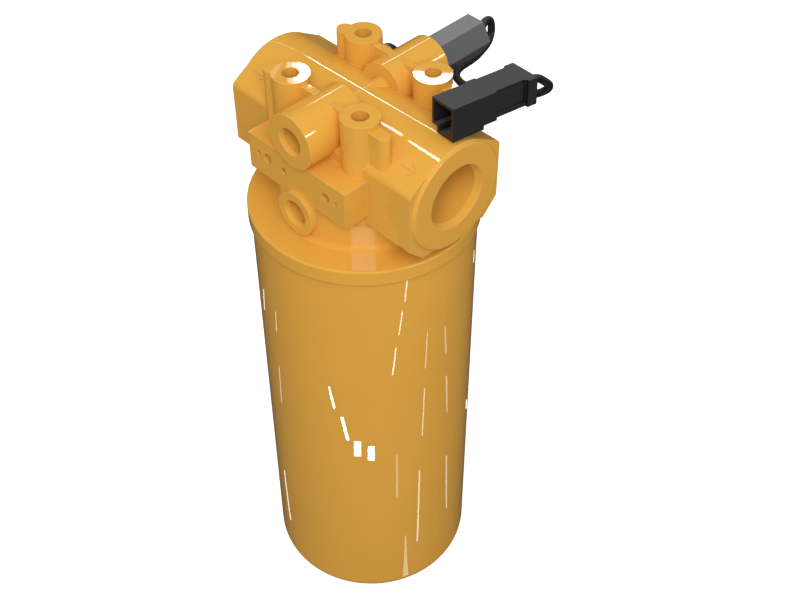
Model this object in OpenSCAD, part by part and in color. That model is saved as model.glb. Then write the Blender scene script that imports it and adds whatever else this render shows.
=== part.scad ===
// Spin-on hydraulic filter: ported head casting, screw-on canister with a pleated
// element, bypass valve, pressure switch and its short lead.
// Millimetres, +Z up, origin at the centre of the canister's base.
// The ports lie along X, oil flows towards +X, the switch looks along +Y.

/* [Head casting] */
// Diameter of the round flange over the canister
flange_d = 120; // [118:1:130]
// Thickness of the flange
flange_t = 8.6; // [7.6:0.2:11]
// Radius on the upper edge of the flange
flange_edge_r = 1; // [0.5:0.25:2]
// Diameter of the neck between flange and port block
neck_d = 87; // [85:0.5:87.5]
// Radius of the fillet at the foot of the neck
neck_fillet_r = 3; // [1:0.5:4]
// Length of the port block between its end faces
block_l = 124; // [118:1:140]
// Width of the port block over its flat sides
block_w = 60; // [56:1:64]
// Height of the port axis above the flange
port_h = 34.6; // [33:0.2:36]
// Radius of the round barrel along the port axis
barrel_r = 29.3; // [28:0.1:30]
// Slope of the shoulders beside the barrel, in degrees
shoulder_slope = 31; // [26:1:36]
// Radius where a shoulder turns into the flat side
shoulder_r = 4; // [2:0.5:6]
// Height of the block's underside above the flange
belly_h = 8.5; // [7:0.5:10]
// Size of the chamfer along the lower edges of the block
belly_chamfer = 9; // [6:0.5:11]

/* [Main ports] */
// Radius of the tapped wall of a main port
port_bore_r = 15.7; // [14:0.1:16.5]
// Radius of the seal cone at the mouth of a main port
port_seat_r = 17.3; // [17:0.1:18.5]
// Depth of the seal cone
port_seat_l = 3.6; // [2:0.2:5]
// Depth of the tapped wall from the end face
port_thread_l = 22; // [19:1:25]
// Radius of the raised seal face round a main port
port_face_r = 28.9; // [27:0.1:29]
// Height of the raised seal face
port_face_t = 1.5; // [1:0.25:2.5]
// Radius of the cored gallery behind a port
gallery_r = 18; // [16:0.5:18.5]
// Thickness of the wall between the two galleries
gallery_wall = 8; // [6:0.5:10]

/* [Mounting bosses] */
// Distance between the mounting holes, both ways
boss_pitch = 47.5; // [45:0.5:49]
// Height of the mounting face above the flange
boss_h = 73.2; // [72:0.2:80]
// Diameter of a mounting boss
boss_d = 19; // [17:0.5:20]
// Radius of a mounting hole, tapped
boss_hole_r = 4.25; // [3.3:0.05:5]
// Depth of a mounting hole
boss_hole_l = 20; // [14:1:24]
// Radius of the ear beside each boss
ear_r = 4; // [3:0.5:5]
// Distance of an ear's centre from its boss
ear_reach = 10.2; // [9:0.2:13]
// Angle of an ear away from the line of the ports, in degrees
ear_angle = 21; // [0:1:35]
// How far the ears on the outlet side stop below the mounting face
ear_drop = 7.6; // [4:0.2:10]
// Thickness of the ribs that join the bosses
rib_t = 4; // [3:0.5:6]
// How far the tip of the outlet arrow lies inside the end face
arrow_inset = 6; // [4:0.5:14]
// Distance between the tips of the two flow arrows
arrow_pitch = 103; // [98:1:106]
// How far the ribs stop below the mounting face
rib_drop = 2.2; // [1.6:0.2:6]

/* [Test ports] */
// Height of the front test port above the flange
test_h = 57.4; // [56:0.2:58]
// Height of the switch port on the back above the flange
switch_h = 58; // [56:0.2:58]
// Distance of the ports' faces from the middle of the head
test_face = 46.4; // [45.6:0.2:50]
// Radius of the test boss on the front
front_boss_r = 14.4; // [12.5:0.2:15]
// Radius of the switch boss on the back
back_boss_r = 13.2; // [12.4:0.2:14]
// Radius of the tapped wall of a test port
test_bore_r = 6.5; // [5.5:0.1:7]
// Radius of the seat at the mouth of a test port
test_seat_r = 7.4; // [7.1:0.1:8.5]
// Depth of that seat
test_seat_l = 2; // [1:0.25:3]
// Height of the lower test port above the flange
low_port_h = 13.8; // [13:0.2:14.5]
// Radius of the round face of the lower test port
low_face_r = 12; // [10.5:0.25:12.5]
// Depth of the lower test port
low_port_l = 12; // [9:0.5:13]
// Radius of the drilled oil ways to the test ports
oil_way_r = 2.5; // [1.5:0.25:3]
// Radius of the slanting oil way from the inlet to the switch
switch_way_r = 1.75; // [1:0.25:2.25]

/* [Front pad] */
// Width of the pads on the front and the back
pad_w = 68; // [60:1:72]
// Distance of the pads' faces from the middle of the head
pad_face = 44.2; // [43.9:0.1:45.2]
// Height of the pad's lower edge above the flange
pad_low = 23.2; // [22:0.2:24.5]
// Height of the pad itself
pad_h = 21; // [18:0.5:23]
// Distance between the outer pin holes on the front pad
pin_pitch = 54; // [50:1:56]
// Radius of the outer pin holes
pin_hole_r = 1.25; // [1:0.25:1.5]
// Distance between the two screw holes on the front pad
plate_screw_pitch = 41; // [38:0.5:44]
// Radius of those screw holes
plate_screw_r = 2.6; // [2:0.1:3]
// Depth of the small holes in the pad
pad_hole_l = 8; // [5:0.5:10]

/* [Canister] */
// Height of the canister from its base to its rolled rim
can_h = 266; // [200:1:320]
// Outside diameter of the canister
can_d = 116.7; // [114:0.1:117.5]
// Wall of the canister
can_wall = 1.1; // [0.8:0.1:1.6]
// Radius of the corner at the base
can_corner_r = 8; // [5:0.5:12]
// Mean radius of the stiffening bead pressed into the base
bead_r = 27; // [26:0.5:30]
// Width of that bead
bead_w = 14; // [12:0.5:16]
// Height of that bead
bead_h = 2.5; // [1.5:0.25:4]
// Width of the lip rolled over the seam plate
roll_w = 2; // [1:0.25:3]
// Gap between the rim and the flange once screwed home
rim_gap = 0.4; // [0.3:0.1:1]

/* [Spin-on joint] */
// Radius over the nipple's thread
nipple_r = 19.05; // [17.5:0.05:20]
// Radius of the passage through the nipple
nipple_bore_r = 15; // [13:0.25:15.5]
// Length of the nipple inside the head
nipple_up = 20; // [16:1:22]
// Length of the nipple below the flange
nipple_down = 34; // [30:1:38]
// Running clearance of the nipple, on the radius
nipple_fit = 0.05; // [0.02:0.01:0.1]
// Thickness of the tapping plate
tapping_t = 7; // [5:0.5:9]
// Radius of the inlet holes in the tapping plate
inlet_hole_r = 4.5; // [3:0.25:5]
// Number of inlet holes
inlet_holes = 8; // [6:1:10]
// Radius of the circle of inlet holes
inlet_circle_r = 32; // [30:0.5:33]
// Inner radius of the head gasket
gasket_in_r = 46; // [44:0.5:48]
// Width of the head gasket
gasket_w = 6; // [4:0.5:6.5]
// Thickness of the head gasket
gasket_t = 5; // [4:0.5:6]
// Thickness of the seam plate
seam_t = 1.2; // [0.8:0.1:1.6]

/* [Filter element] */
// Outer radius of the pleated media
media_out_r = 49; // [44:0.5:50]
// Inner radius of the pleated media
media_in_r = 22; // [21.5:0.5:24]
// Number of pleats
pleats = 54; // [36:1:64]
// Radial shift between the two faces of the folded media
pleat_shift = 7; // [5:0.5:9]
// Thickness of an end cap
cap_t = 1.5; // [1:0.25:2.5]
// Height of an end cap's turned edge
cap_rim_h = 7; // [4:0.5:10]
// Outer radius of the centre tube
tube_r = 21; // [20.5:0.25:21.4]
// Wall of the centre tube
tube_wall = 1; // [0.8:0.1:1.2]
// Radius of a hole in the centre tube
tube_hole_r = 3; // [2:0.25:3.5]
// Distance between rows of holes in the centre tube
tube_row = 24; // [18:1:36]
// Height of the inner seal
seal_h = 8; // [6:0.5:10]
// Height of the spring under the element
leaf_h = 12; // [9:0.5:16]
// Thickness of that spring's strip
leaf_t = 1.2; // [1:0.1:1.6]

/* [Bypass valve] */
// Distance of the valve from the canister axis
valve_x = 31; // [30.5:0.25:31.5]
// Radius of the valve cage
cage_r = 8.8; // [8.2:0.1:9]
// Thickness of the cage's walls
cage_t = 1.6; // [1.2:0.1:2]
// Radius of the hole in the valve seat
seat_hole_r = 4.8; // [4:0.1:5.2]
// Radius of the poppet's head
poppet_r = 6; // [5.6:0.1:6.4]
// Thickness of the poppet's head
poppet_t = 2.4; // [2:0.1:3]
// Radius of the poppet's stem
stem_r = 2; // [1.6:0.1:2.4]
// Clearance of the stem in its guide, on the radius
stem_fit = 0.06; // [0.03:0.01:0.1]
// Gap between the poppet and its seat at rest
seat_gap = 0.15; // [0.1:0.05:0.3]
// Travel of the poppet
valve_lift = 5; // [3:0.5:5.5]
// Diameter of the bypass spring's wire
spring_wire_d = 1; // [0.8:0.1:1.2]
// Turns of the bypass spring
spring_turns = 4; // [3:0.5:5]

/* [Pressure switch] */
// Width of the switch body across its flats
switch_af = 18.4; // [17:0.2:20]
// Length of the switch body
switch_l = 31.8; // [24:0.2:36]
// Length of the switch's threaded shank
shank_l = 16; // [12:1:20]
// Thickness of the seal ring behind the switch body
ring_t = 1.2; // [1:0.1:2]
// Thickness of the rubber grommet round the lead
grommet_t = 2; // [1.5:0.25:3]
// Diameter of the lead
lead_d = 4; // [3.4:0.2:4.4]

/* [Lead connector] */
// Width of the connector housing
conn_w = 15.2; // [14:0.2:17]
// Height of the connector housing
conn_h = 17; // [15:0.2:19]
// Length of the housing in front of its collar
conn_l = 43.4; // [38:0.2:50]
// Length of the collar
collar_l = 5.5; // [4:0.25:7]
// How far the collar stands out
collar_out = 1.2; // [0.8:0.1:2]
// Wall of the open socket
socket_wall = 1.3; // [1:0.1:1.8]
// Depth of the open socket
socket_l = 22; // [18:0.5:26]
// Radius of a contact pin
pin_r = 0.9; // [0.7:0.1:1.2]

/* [Port cap] */
// Distance of the capped port from the middle of the head
cap_x = 28; // [26:0.5:31]
// Height of the capped port above the flange
cap_h = 46.5; // [45:0.5:50]
// Radius of the boss round the capped port
cap_boss_r = 8; // [7.5:0.25:9]
// Distance of that boss's face from the middle of the head
cap_face = 44.2; // [43:0.2:46]
// Radius of the plastic cap
cap_head_r = 6.8; // [6.2:0.1:7.4]
// Length of the cap's head
cap_head_l = 5; // [4:0.5:9]
// Radius of the cap's plug
cap_stem_r = 4; // [3.5:0.25:5]
// Length of the cap's plug
cap_stem_l = 9; // [6:0.5:12]

/* [Hidden] */
$fn = 96;

// Flats that run into an arc lie this far inside it, so that they cross it cleanly
tuck = 0.02;
// Overlap of shapes that are joined or cut
eps = 0.5;
paint = "#d9a441";
steel = "#9aa0a3";
rubber = "#1c1c1c";
plastic = "#2a2a2b";

// Heights from the base
rim_z = can_h;
seal_z = can_h + rim_gap;
head_z = seal_z + flange_t;

// Port block
block_half_l = block_l / 2;
side_y = block_w / 2;
shoulder_y = side_y - shoulder_r;
shoulder_z = port_h + (barrel_r - shoulder_r - shoulder_y * sin(shoulder_slope))
  / cos(shoulder_slope);
end_x = block_half_l + port_face_t;
boss_half = boss_pitch / 2;
boss_foot = pad_low + pad_h - 3;
test_depth = test_face - gallery_r + 7;
way_y = gallery_r - 7;

// Spin-on joint
nipple_seat_z = head_z - flange_t + nipple_up;
boss_ring_r = nipple_r + 5.5;
chamber_in_r = boss_ring_r;
chamber_out_r = neck_d / 2 - 5;
chamber_top = belly_h - 1;
chamber_mid_r = (chamber_in_r + chamber_out_r) / 2;
gasket_bottom = seal_z - gasket_t;
gasket_out_r = gasket_in_r + gasket_w;
can_r = can_d / 2;
can_in_r = can_r - can_wall;
plate_top = gasket_bottom - seam_t;
tapping_bottom = plate_top - tapping_t;

// Element
element_top = tapping_bottom - 6;
bead_top = bead_h + can_wall;
element_base = bead_top + leaf_h;
tube_in_r = tube_r - tube_wall;
tube_bottom = element_base + cap_t;
tube_top = element_top - cap_t;
tube_l = tube_top - tube_bottom;
tube_rows = floor((tube_l - tube_row) / tube_row);
cap_r = media_out_r + 0.3 + cap_t;
nipple_low = seal_z - nipple_down;

// Bypass valve
valve_z = head_z + chamber_top;
poppet_z = valve_z + cage_t + seat_gap;
cage_h = 2 * cage_t + seat_gap + poppet_t + valve_lift + 1.8 * spring_turns * spring_wire_d;
cage_top = valve_z + cage_h;
spring_low = poppet_z + poppet_t;
spring_high = cage_top - cage_t;
spring_r = stem_r + 1 + spring_wire_d / 2;
stem_top = cage_top + 1;

// Switch
switch_z = head_z + switch_h;
switch_y = test_face + ring_t;
switch_end = switch_y + switch_l;

// Lead: centre line from the grommet to the back of the connector
lead_route = [
  [0, 80.4, 333], [-0.4, 84.8, 333.8], [-1.8, 88.8, 335], [-2.6, 93, 333.6],
  [-3.2, 95.4, 329.8], [-2.8, 95.2, 325.2], [-1.6, 92.4, 322], [-0.4, 88.2, 320.6],
  [0.8, 84, 320.4], [2, 79.6, 320.4], [2.8, 75.2, 320.6], [3.2, 70.8, 320.8],
  [3.8, 66.2, 321.2], [5, 61.8, 321.4], [7.4, 58, 321.8], [10.8, 55.4, 322.4],
  [15, 53.6, 323], [19.2, 52.2, 324], [23.4, 51, 324.6], [27.8, 50.2, 325.2],
  [32.4, 49.6, 325.8], [36.8, 49.6, 326.4], [41.2, 50.4, 327], [45, 52.6, 327.8],
  [48.2, 55.6, 328.8], [50.8, 59.2, 329.8], [53.6, 62.6, 331], [56.8, 65.2, 332.8],
  [59.8, 66, 336], [61.6, 64.4, 339.8], [61.4, 61.4, 343], [60, 58, 346],
  [59.4, 54, 347.4], [59, 49.4, 347.4]
];
lead_sides = 10;

// Connector: front lower right corner and the way it lies on the barrel
conn_place = [60.4, -1, 340.6];
conn_yaw = -7.8;
conn_pitch = -3.6;
conn_roll = -5;
latch_w = 11.5;
latch_h = 3.4;
latch_l = 18.2;
step_h = 2;
step_l = 25.8;
exit_h = 10;

function arc(c, r, from, to, steps) =
  [for (i = [0 : steps]) let (a = from + (to - from) * i / steps)
    [c[0] + r * cos(a), c[1] + r * sin(a)]];

// Frames along a path of points, and a tube swept along them
function unit(v) = v / norm(v);
function heading(p, i) = unit(p[min(i + 1, len(p) - 1)] - p[max(i - 1, 0)]);
function side_of(p, i) = i == 0 ? unit(cross(heading(p, 0), [0.1, 0.2, 1]))
  : let (s = side_of(p, i - 1), h = heading(p, i)) unit(s - h * (s * h));
function ring(c, h, s, r, sides) =
  [for (k = [0 : sides - 1]) let (a = 360 * k / sides)
    c + r * (cos(a) * s + sin(a) * cross(h, s))];

module swept_tube(p, r, sides) {
  n = len(p);
  points = [for (i = [0 : n - 1])
    each ring(p[i], heading(p, i), side_of(p, i), r, sides)];
  walls = [for (i = [0 : n - 2], k = [0 : sides - 1])
    let (a = i * sides + k, b = i * sides + (k + 1) % sides)
      each [[a, b, b + sides], [a, b + sides, a + sides]]];
  low = [[for (k = [0 : sides - 1]) sides - 1 - k]];
  high = [[for (k = [0 : sides - 1]) (n - 1) * sides + k]];
  polyhedron(points = points, faces = concat(walls, low, high));
}

// Points on a smooth curve through the route, three for each stretch
function spline(a, b, c, d, t) = 0.5 * ((2 * b) + (c - a) * t
  + (2 * a - 5 * b + 4 * c - d) * t * t + (3 * b - a - 3 * c + d) * t * t * t);
function smooth_route(p, steps) = let (n = len(p))
  [for (i = [0 : n - 2], k = [0 : steps - 1])
    spline(p[max(i - 1, 0)], p[i], p[i + 1], p[min(i + 2, n - 1)], k / steps),
    p[n - 1]];

// Outline of the port block across its length: x is the depth Y, y the height
module block_section() {
  half = barrel_r - tuck;
  translate([0, port_h]) circle(r = barrel_r);
  for (s = [-1, 1])
    translate([s * shoulder_y, shoulder_z]) circle(r = shoulder_r);
  polygon([
    [belly_chamfer - side_y, belly_h], [side_y - belly_chamfer, belly_h],
    [side_y - tuck, belly_h + belly_chamfer], [side_y - tuck, shoulder_z],
    [shoulder_y + (shoulder_r - tuck) * sin(shoulder_slope),
      shoulder_z + (shoulder_r - tuck) * cos(shoulder_slope)],
    [half * sin(shoulder_slope), port_h + half * cos(shoulder_slope)],
    [-half * sin(shoulder_slope), port_h + half * cos(shoulder_slope)],
    [-shoulder_y - (shoulder_r - tuck) * sin(shoulder_slope),
      shoulder_z + (shoulder_r - tuck) * cos(shoulder_slope)],
    [tuck - side_y, shoulder_z], [tuck - side_y, belly_h + belly_chamfer]
  ]);
}

// Flange and neck in one turned outline
module flange_and_neck() {
  neck_r = neck_d / 2;
  rotate_extrude() polygon(concat(
    [[0, -flange_t], [flange_d / 2, -flange_t]],
    arc([flange_d / 2 - flange_edge_r, -flange_edge_r], flange_edge_r, 0, 90, 4),
    arc([neck_r + neck_fillet_r, neck_fillet_r], neck_fillet_r, 270, 180, 6),
    [[neck_r, pad_low + 2], [0, pad_low + 2]]
  ));
}

// Raised seal face with a rounded edge, looking along +X
module port_face() {
  rotate([0, 90, 0]) rotate_extrude() polygon(concat(
    [[0, -eps], [port_face_r, -eps]],
    arc([port_face_r - port_face_t, 0], port_face_t, 0, 90, 5),
    [[0, port_face_t]]
  ));
}

// One mounting boss with its ear; drop is how far the ear stops short of the boss
module boss_post(angle, drop) {
  linear_extrude(boss_h - boss_foot) circle(d = boss_d);
  rotate([0, 0, angle]) linear_extrude(boss_h - boss_foot - drop) {
    translate([ear_reach, 0]) circle(r = ear_r);
    translate([0, tuck - ear_r]) square([ear_reach, 2 * (ear_r - tuck)]);
  }
}

module along_y(way) { rotate([way > 0 ? -90 : 90, 0, 0]) children(); }

// Straight hole drilled between two points
module drilled(from, to, r) {
  v = to - from;
  translate(from) rotate([0, acos(v[2] / norm(v)), atan2(v[1], v[0])])
    cylinder(r = r, h = norm(v));
}

// Tapped port with a seat at its mouth, cut along -Z from the face at z = 0
module port_cut(bore_r, seat_r, seat_l, depth) {
  translate([0, 0, -depth]) cylinder(r = bore_r, h = depth + eps);
  translate([0, 0, -seat_l]) cylinder(r1 = bore_r, r2 = seat_r, h = seat_l + tuck);
}

// Flow arrow cut into the front shoulder, its tip towards +X
module arrow_cut() {
  groove = 0.9;
  shaft = 10;
  barb = 5;
  translate([-shaft, -groove / 2, -groove / 2]) cube([shaft, groove, groove]);
  for (s = [-1, 1])
    rotate([0, 0, 180 + s * 38]) translate([0, -groove / 2, -groove / 2])
      cube([barb, groove, groove]);
}

module arrow_place(x) {
  y = 20.8;
  z = port_h + (barrel_r - y * sin(shoulder_slope)) / cos(shoulder_slope);
  translate([x, -y, z]) rotate([shoulder_slope, 0, 0]) arrow_cut();
}

module head_outside() {
  flange_and_neck();
  translate([-block_half_l, 0, 0]) rotate([90, 0, 90])
    linear_extrude(block_l) block_section();
  for (s = [0, 180])
    rotate([0, 0, s]) translate([block_half_l, 0, port_h]) port_face();
  for (x = [-1, 1], y = [-1, 1])
    translate([x * boss_half, y * boss_half, boss_foot])
      boss_post(x > 0 ? ear_angle : 180 + ear_angle, x > 0 ? ear_drop : 0);
  for (y = [-1, 1])
    translate([-boss_half, y * boss_half - rib_t / 2, boss_foot])
      cube([boss_pitch, rib_t, boss_h - rib_drop - boss_foot]);
  for (y = [-1, 1])
    translate([-pad_w / 2, y > 0 ? 0 : -pad_face, pad_low])
      cube([pad_w, pad_face, pad_h]);
  translate([0, -way_y, test_h]) along_y(-1)
    cylinder(r = front_boss_r, h = test_face - way_y);
  translate([0, way_y + 2, switch_h]) along_y(1)
    cylinder(r = back_boss_r, h = test_face - way_y - 2);
  translate([-cap_x, 0, cap_h]) along_y(1) cylinder(r = cap_boss_r, h = cap_face);
  translate([0, -gallery_r, low_port_h]) along_y(-1)
    cylinder(r = low_face_r, h = test_face - gallery_r);
  translate([0, -gallery_r, 0]) along_y(-1)
    linear_extrude(pad_face - gallery_r) {
      translate([0, low_port_h]) circle(r = low_face_r);
      translate([tuck - low_face_r, low_port_h])
        square([2 * (low_face_r - tuck), pad_low + 2 - low_port_h]);
    }
}

// Cored galleries: inlet from -X to the ring chamber, outlet from the centre to +X
module head_passages() {
  wall_x = -chamber_in_r + 2;
  for (s = [0, 180])
    rotate([0, 0, s]) translate([end_x, 0, port_h]) rotate([0, 90, 0])
      port_cut(port_bore_r, port_seat_r, port_seat_l, port_thread_l + port_face_t);
  inlet_l = block_half_l - port_thread_l + wall_x;
  translate([wall_x, 0, port_h]) rotate([0, -90, 0])
    cylinder(r = gallery_r, h = inlet_l);
  outlet_x = wall_x + gallery_wall;
  translate([outlet_x, 0, port_h]) rotate([0, 90, 0])
    cylinder(r = gallery_r, h = block_half_l - port_thread_l - outlet_x);
  translate([0, 0, -flange_t - eps]) {
    cylinder(r = nipple_bore_r, h = port_h + flange_t);
    cylinder(r = nipple_r + nipple_fit, h = nipple_up + eps);
    difference() {
      cylinder(r = chamber_out_r, h = flange_t + chamber_top + eps);
      translate([0, 0, -eps])
        cylinder(r = chamber_in_r, h = flange_t + chamber_top + 3 * eps);
    }
  }
  for (a = [-20, 0, 20])
    rotate([0, 0, 180 + a]) translate([chamber_mid_r, 0, chamber_top - eps])
      cylinder(r = 5.5, h = port_h - chamber_top);
  translate([valve_x, 0, -flange_t - eps]) {
    cylinder(r = cage_r + nipple_fit, h = flange_t + port_h);
  }
}

module head_small_cuts() {
  for (x = [-1, 1], y = [-1, 1])
    translate([x * boss_half, y * boss_half, boss_h - boss_hole_l])
      cylinder(r = boss_hole_r, h = boss_hole_l + eps);
  for (y = [-1, 1]) {
    translate([0, y * test_face, y > 0 ? switch_h : test_h]) along_y(y)
      port_cut(test_bore_r, test_seat_r, test_seat_l, test_depth);
  }
  translate([0, -way_y, port_h]) cylinder(r = oil_way_r, h = test_h - port_h);
  drilled([0, way_y + 3, switch_h], [-chamber_in_r - 2.5, gallery_r / 2,
    port_h + gallery_r * 0.72], switch_way_r);
  translate([0, -test_face, low_port_h]) along_y(-1) {
    port_cut(test_bore_r, test_seat_r, test_seat_l, low_port_l);
  }
  translate([0, -test_face + low_port_l - 2, chamber_top - eps])
    cylinder(r = oil_way_r, h = low_port_h - chamber_top);
  pad_mid = pad_low + pad_h * 0.55;
  for (x = [-1, 1]) {
    translate([x * pin_pitch / 2, -pad_face + pad_hole_l, pad_mid]) along_y(-1)
      cylinder(r = pin_hole_r, h = pad_hole_l + eps);
    translate([x * plate_screw_pitch / 2, -pad_face + pad_hole_l, pad_mid]) along_y(-1)
      cylinder(r = plate_screw_r, h = pad_hole_l + eps);
  }
  translate([-9, -pad_face + pad_hole_l, pad_mid - 1]) along_y(-1)
    cylinder(r = 1.8, h = pad_hole_l + eps);
  arrow_place(block_half_l - arrow_inset);
  arrow_place(block_half_l - arrow_inset - arrow_pitch);
  translate([-cap_x, cap_face - cap_stem_l - 1, cap_h]) along_y(1)
    cylinder(r = cap_stem_r, h = cap_stem_l + 1 + eps);
  translate([-cap_x, way_y, cap_h]) along_y(1) cylinder(r = oil_way_r, h = cap_face - 15);
}

module filter_head() {
  color(paint) translate([0, 0, head_z]) difference() {
    head_outside();
    head_passages();
    head_small_cuts();
  }
}

module nipple() {
  chamfer = 1;
  color(steel) rotate_extrude() polygon([
    [nipple_bore_r, nipple_low], [nipple_r - chamfer, nipple_low],
    [nipple_r, nipple_low + chamfer], [nipple_r, nipple_seat_z - chamfer],
    [nipple_r - chamfer, nipple_seat_z], [nipple_bore_r, nipple_seat_z]
  ]);
}

module valve_cage() {
  window = 9;
  color(steel) translate([valve_x, 0, 0]) difference() {
    translate([0, 0, valve_z]) cylinder(r = cage_r, h = cage_h);
    translate([0, 0, valve_z + cage_t])
      cylinder(r = cage_r - cage_t, h = cage_h - 2 * cage_t);
    translate([0, 0, valve_z - eps]) cylinder(r = seat_hole_r, h = cage_t + 2 * eps);
    translate([0, 0, cage_top - cage_t - eps])
      cylinder(r = stem_r + stem_fit, h = cage_t + 2 * eps);
    for (a = [0, 90])
      rotate([0, 0, a]) translate([-cage_r - eps, -window / 2, valve_z + cage_t + 3])
        cube([2 * (cage_r + eps), window, cage_h - 2 * cage_t - 5]);
  }
}

module valve_poppet() {
  color(steel) translate([valve_x, 0, 0]) rotate_extrude() polygon([
    [0, poppet_z], [poppet_r - 0.6, poppet_z], [poppet_r, poppet_z + 0.6],
    [poppet_r, poppet_z + poppet_t], [stem_r, poppet_z + poppet_t],
    [stem_r, stem_top - 0.5], [stem_r - 0.5, stem_top], [0, stem_top]
  ]);
}

module valve_spring() {
  wire_r = spring_wire_d / 2;
  steps = 14;
  n = spring_turns * steps;
  rise = spring_high - spring_low - 2 * (wire_r + 0.05);
  turns_path = [for (i = [0 : n]) let (a = 360 * i / steps)
    [valve_x + spring_r * cos(a), spring_r * sin(a),
      spring_low + wire_r + 0.05 + rise * i / n]];
  color(steel) swept_tube(turns_path, wire_r, 6);
}

module switch_body() {
  color("#4a4a4c") {
    translate([0, switch_y, switch_z]) along_y(1) rotate([0, 0, 0])
      cylinder(d = switch_af / cos(30), h = switch_l, $fn = 6);
    translate([0, switch_y + 1, switch_z]) along_y(-1)
      cylinder(r = test_bore_r - 0.1, h = shank_l + 1);
  }
}

module switch_ring() {
  color(rubber) translate([0, test_face, switch_z]) along_y(1) difference() {
    cylinder(r = test_seat_r + 1.2, h = ring_t);
    translate([0, 0, -eps]) cylinder(r = test_bore_r, h = ring_t + 2 * eps);
  }
}

module switch_grommet() {
  color(rubber) translate([0, switch_end, switch_z]) along_y(1)
    cylinder(r1 = lead_d / 2 + 2.4, r2 = lead_d / 2 + 1, h = grommet_t);
}

module switch_lead() {
  color(rubber) swept_tube(smooth_route(lead_route, 2), lead_d / 2, lead_sides);
}

module conn_frame() {
  translate(conn_place) rotate([0, conn_roll, 0]) rotate([conn_pitch, 0, 0])
    rotate([0, 0, conn_yaw]) children();
}

module connector_housing() {
  inner_w = conn_w - 2 * socket_wall;
  color(plastic) conn_frame() difference() {
    union() {
      translate([-conn_w, 0, latch_h]) cube([conn_w, conn_l, conn_h - latch_h]);
      translate([-latch_w, 0, 0]) cube([latch_w, latch_l, latch_h + eps]);
      translate([-latch_w, 0, step_h]) cube([latch_w, step_l, latch_h - step_h + eps]);
      translate([-conn_w - collar_out, conn_l, latch_h - 0.4])
        cube([conn_w + 2 * collar_out, collar_l, conn_h - latch_h + 0.4]);
      translate([-conn_w - 1, 20, conn_h - 4.5]) cube([1 + eps, 5.5, 4.5]);
    }
    translate([-conn_w + socket_wall, -eps, latch_h + socket_wall])
      cube([inner_w, socket_l + eps, conn_h - latch_h - 2 * socket_wall]);
    translate([socket_wall - latch_w, -eps, socket_wall])
      cube([latch_w - 3.6 - socket_wall, 8, latch_h + socket_wall]);
    translate([-1.1, conn_l - 18, conn_h - 1.4]) cube([1.1 + eps, 16, 1.4 + eps]);
    translate([-0.7, conn_l - 18, latch_h + 2]) cube([0.7 + eps, 17, conn_h]);
    translate([-conn_w / 2, conn_l + collar_l + eps, exit_h]) along_y(-1)
      cylinder(r = lead_d / 2 + 1.6, h = 5.5 + eps);
  }
}

module connector_seal() {
  inside = 5;
  color(rubber) conn_frame() translate([-conn_w / 2, conn_l + collar_l, exit_h])
    along_y(1) {
      translate([0, 0, -inside]) cylinder(r = lead_d / 2 + 1.6, h = inside);
      cylinder(r1 = lead_d / 2 + 1.6, r2 = lead_d / 2 + 1, h = 1.2);
    }
}

module connector_pins() {
  color("#c9a24a") conn_frame() for (s = [-1, 1])
    translate([-conn_w / 2 + s * 2.8, socket_l + 2, exit_h]) along_y(-1)
      cylinder(r = pin_r, h = 10);
}

module port_cap() {
  color(plastic) translate([-cap_x, cap_face, head_z + cap_h]) along_y(1) {
    translate([0, 0, -cap_stem_l]) cylinder(r = cap_stem_r, h = cap_stem_l + 1);
    rotate_extrude() polygon(concat(
      [[0, 0], [cap_head_r, 0]],
      arc([cap_head_r - 2, cap_head_l - 2], 2, 0, 90, 5), [[0, cap_head_l]]
    ));
  }
}

module canister() {
  inner_corner = can_corner_r - can_wall;
  half = bead_w / 2;
  slant = can_wall * tan(22.5);
  color(paint) rotate_extrude() polygon(concat(
    [[0, 0], [bead_r - half, 0], [bead_r - half + bead_h, bead_h],
      [bead_r + half - bead_h, bead_h], [bead_r + half, 0]],
    arc([can_r - can_corner_r, can_corner_r], can_corner_r, 270, 360, 10),
    [[can_r, rim_z - 0.8], [can_r - 0.8, rim_z], [can_in_r - roll_w, rim_z],
      [can_in_r - roll_w, rim_z - can_wall], [can_in_r, rim_z - can_wall]],
    arc([can_r - can_corner_r, can_corner_r], inner_corner, 360, 270, 10),
    [[bead_r + half + slant, can_wall], [bead_r + half - bead_h + slant, bead_top],
      [bead_r - half + bead_h - slant, bead_top], [bead_r - half - slant, can_wall],
      [0, can_wall]]
  ));
}

module seam_plate() {
  edge_r = can_in_r - 0.05;
  edge_z = rim_z - can_wall - 0.1 - seam_t;
  hole_r = inlet_circle_r + inlet_hole_r + 1.5;
  near_r = gasket_in_r - 0.1;
  far_r = gasket_out_r + 0.1;
  color(steel) rotate_extrude() polygon([
    [hole_r, plate_top], [far_r + seam_t, plate_top], [far_r + seam_t, edge_z],
    [edge_r, edge_z], [edge_r, edge_z + seam_t], [far_r, edge_z + seam_t],
    [far_r, gasket_bottom], [near_r, gasket_bottom], [near_r, edge_z],
    [near_r - seam_t, edge_z], [near_r - seam_t, gasket_bottom],
    [hole_r, gasket_bottom]
  ]);
}

module tapping_plate() {
  color(steel) translate([0, 0, tapping_bottom]) difference() {
    cylinder(r = gasket_out_r - 0.5, h = tapping_t);
    translate([0, 0, -eps]) cylinder(r = nipple_r + nipple_fit, h = tapping_t + 2 * eps);
    for (i = [0 : inlet_holes - 1])
      rotate([0, 0, i * 360 / inlet_holes]) translate([inlet_circle_r, 0, -eps])
        cylinder(r = inlet_hole_r, h = tapping_t + 2 * eps);
  }
}

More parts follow.
